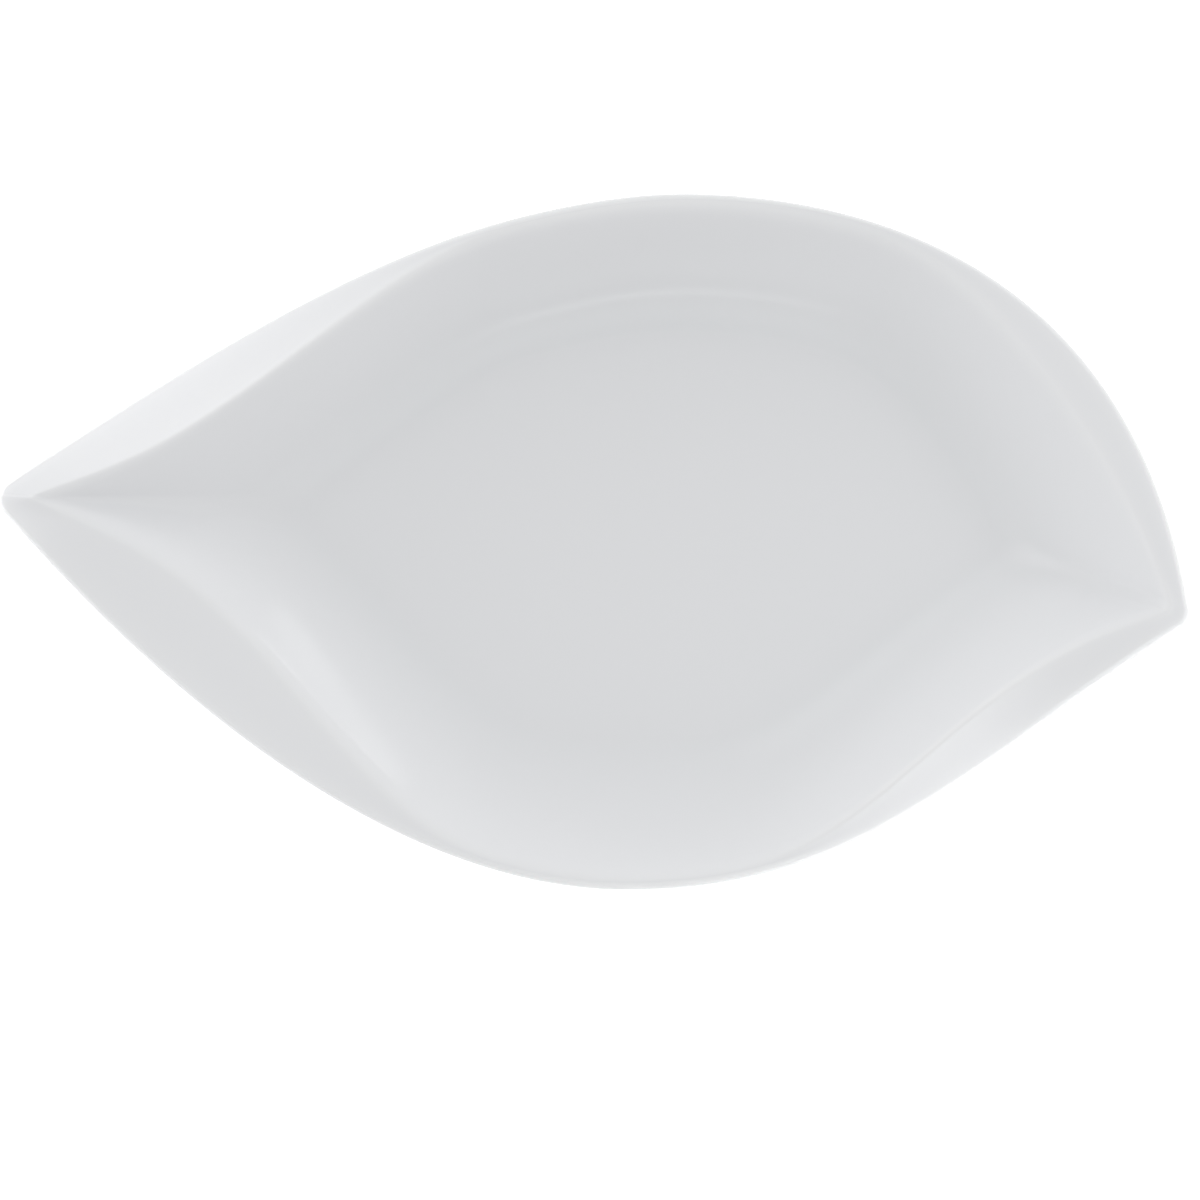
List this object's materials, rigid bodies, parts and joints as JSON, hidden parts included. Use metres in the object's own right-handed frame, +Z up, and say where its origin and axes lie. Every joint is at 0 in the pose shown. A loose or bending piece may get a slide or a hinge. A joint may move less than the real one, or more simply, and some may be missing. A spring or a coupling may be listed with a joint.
{
  "type": "oval serving plate",
  "caption": "Shallow white porcelain serving plate, oval with pointed leaf-like ends, a broad flat well and a sloping wall whose rim opens into twisting brims towards the tips.",
  "frame": {"origin": "on the table under the middle of the plate's box", "axes": "+X along the plate's length from the drawn-out left tip to the blunt right tip, +Y to the far side, +Z up"},
  "size_m": [0.36, 0.2146, 0.0337],
  "materials": {
    "biscuit": "fired hard porcelain, bare and ground flat on the foot ring",
    "glaze": "clear glossy glaze over a cool white body"
  },
  "bodies": {
    "root": {"porcelain_body": "biscuit", "face_glaze": "glaze", "base_glaze": "glaze"}
  },
  "joints": []
}
